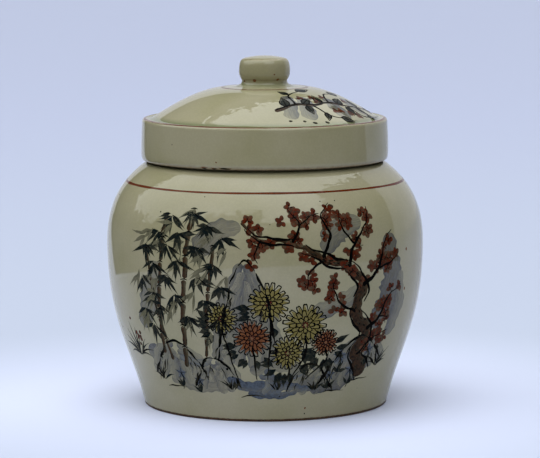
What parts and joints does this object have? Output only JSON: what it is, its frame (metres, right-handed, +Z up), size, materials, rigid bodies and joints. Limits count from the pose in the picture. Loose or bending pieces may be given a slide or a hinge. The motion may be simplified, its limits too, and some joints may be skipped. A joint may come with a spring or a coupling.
{
  "type": "cookie jar",
  "caption": "Round-shouldered glazed stoneware jar on a turned foot, with an overcap lid and a button knob, for keeping cookies.",
  "frame": {"origin": "centre of the foot, on the surface that the jar stands on", "axes": "+Z up along the jar's axis; -Y towards the decorated front"},
  "size_m": [0.1862, 0.1862, 0.2047],
  "materials": {
    "body_glaze": "glossy olive-cream glaze over iron-specked stoneware, with brushed slip and oxide decoration and a bare foot ring",
    "lid_glaze": "glossy cream glaze, thin and brown at the edges, pooled green in the gutter",
    "knob_glaze": "glossy cream glaze with brown oxide in the waist"
  },
  "bodies": {
    "jar": {"jar_body": "body_glaze"},
    "lid": {"lid_cap": "lid_glaze", "lid_knob": "knob_glaze"}
  },
  "joints": [
    {"name": "lid_lift", "type": "slide", "parent": "jar", "child": "lid", "axis": [0, 0, 1], "range_m": [0, 0.15]}
  ]
}
